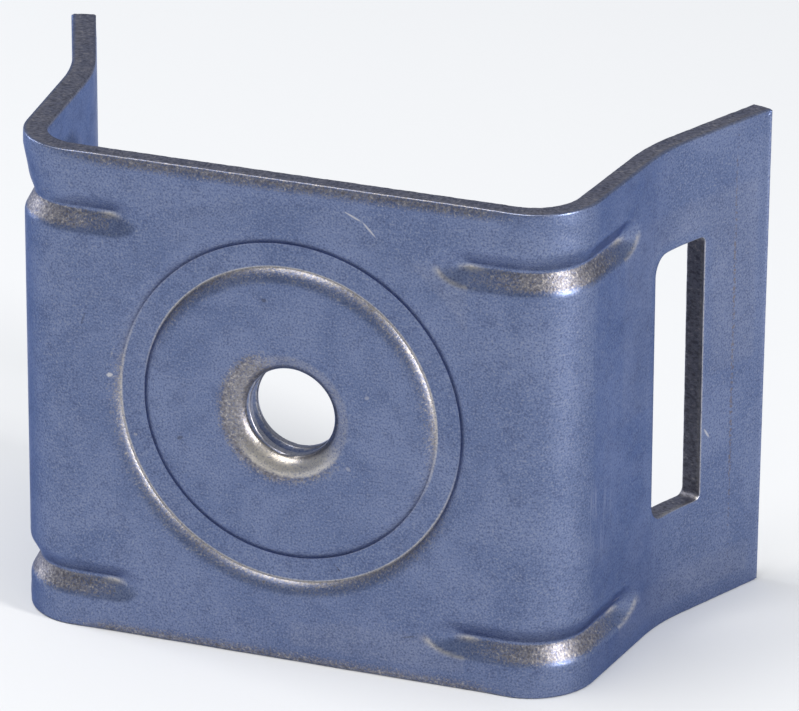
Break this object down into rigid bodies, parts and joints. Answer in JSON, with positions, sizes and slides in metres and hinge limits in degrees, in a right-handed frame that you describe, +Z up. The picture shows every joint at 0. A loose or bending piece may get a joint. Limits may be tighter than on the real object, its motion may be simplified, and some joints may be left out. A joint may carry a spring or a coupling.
{
  "type": "stamped sheet metal band bracket",
  "caption": "Folded stainless strip with flared slotted legs, a pressed ring, corner darts and a tapped collar; straps to a post and takes a bolt.",
  "frame": {"origin": "middle of the footprint, on the surface that the strip's lower edge stands on", "axes": "+Z up along the strip's width, -Y out of the panel's outer face, +X along the panel"},
  "size_m": [0.056, 0.0274, 0.0381],
  "materials": {
    "stainless": "dull rolled stainless with a fine grain, rougher and browner where it was sheared, pierced or stretched"
  },
  "bodies": {
    "root": {"bracket": "stainless"}
  },
  "joints": []
}
